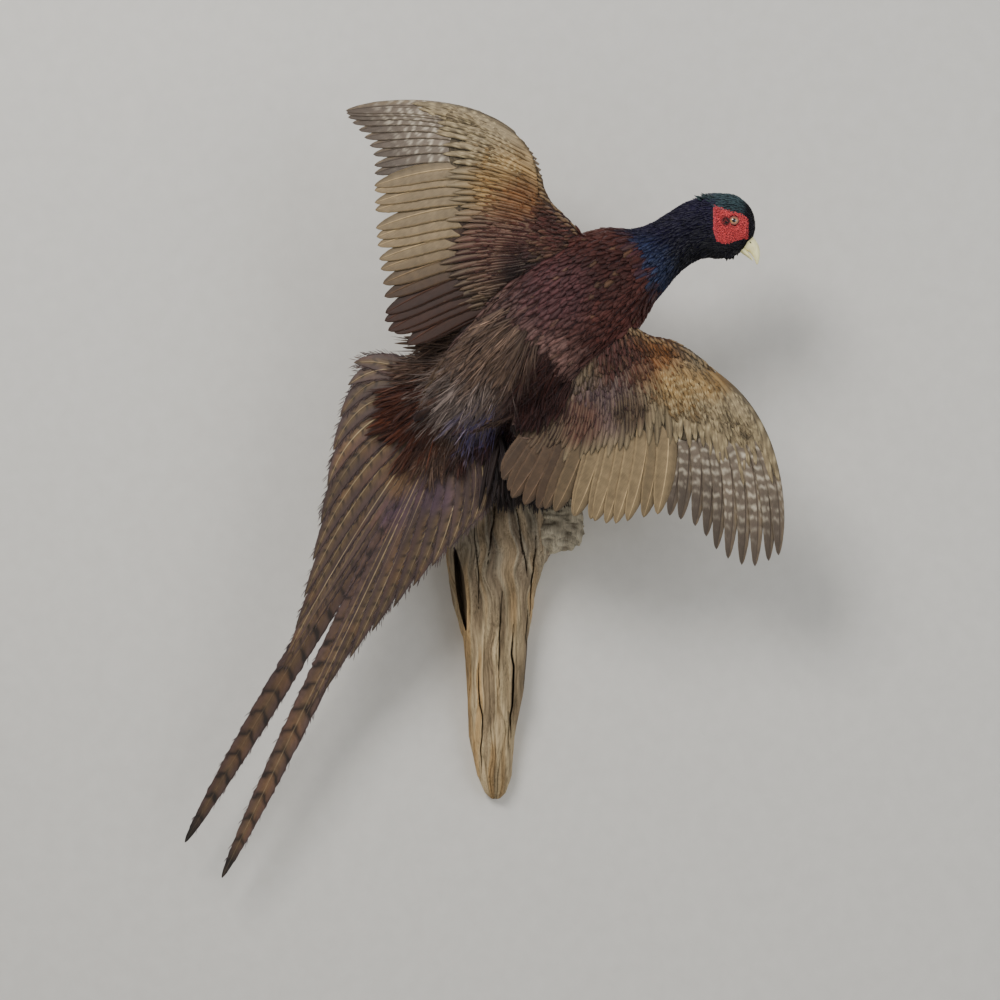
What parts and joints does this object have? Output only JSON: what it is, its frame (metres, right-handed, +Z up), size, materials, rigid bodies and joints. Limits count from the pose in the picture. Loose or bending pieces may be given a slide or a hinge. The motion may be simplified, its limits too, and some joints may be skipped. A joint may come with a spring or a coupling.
{
  "type": "taxidermy pheasant",
  "caption": "Mounted dark cock pheasant in flight with spread wings and long tail, perched on a tapered driftwood wall mount.",
  "frame": {"origin": "on the flat back of the driftwood, which lies on the wall, near its middle", "axes": "+X to the right of someone facing the wall, +Y into the wall, +Z up"},
  "size_m": [0.5944, 0.208, 0.7693],
  "materials": {
    "plumage_dark": "glossy maroon and purple-brown contour feathers",
    "plumage_neck": "iridescent blue-black and green feathers",
    "plumage_wing": "golden-brown and purple-maroon wing coverts",
    "flight_feathers": "olive-brown flight feathers with pale bars",
    "tail_feathers": "brown tail feathers with black bars and purple fringes",
    "wattle": "red papillate facial skin",
    "eye": "polished glass eye with orange-brown iris",
    "horn": "pale yellow horn bill",
    "foot_skin": "grey-brown scaled legs and dark claws",
    "driftwood": "weathered grey-brown driftwood",
    "hanger": "zinc-plated sawtooth hanger"
  },
  "bodies": {
    "root": {"trunk": "plumage_dark", "neck": "plumage_neck", "head": "plumage_neck", "wattle_right": "wattle", "wattle_left": "wattle", "eye_right": "eye", "eye_left": "eye", "bill_upper": "horn", "bill_lower": "horn", "wing_left_arm": "plumage_wing", "wing_left_secondaries": "flight_feathers", "wing_left_primaries": "flight_feathers", "wing_right_arm": "plumage_wing", "wing_right_secondaries": "flight_feathers", "wing_right_primaries": "flight_feathers", "tail": "tail_feathers", "thigh_left": "plumage_dark", "foot_left": "foot_skin", "thigh_right": "plumage_dark", "foot_right": "foot_skin", "driftwood": "driftwood", "hanger": "hanger"}
  },
  "joints": []
}
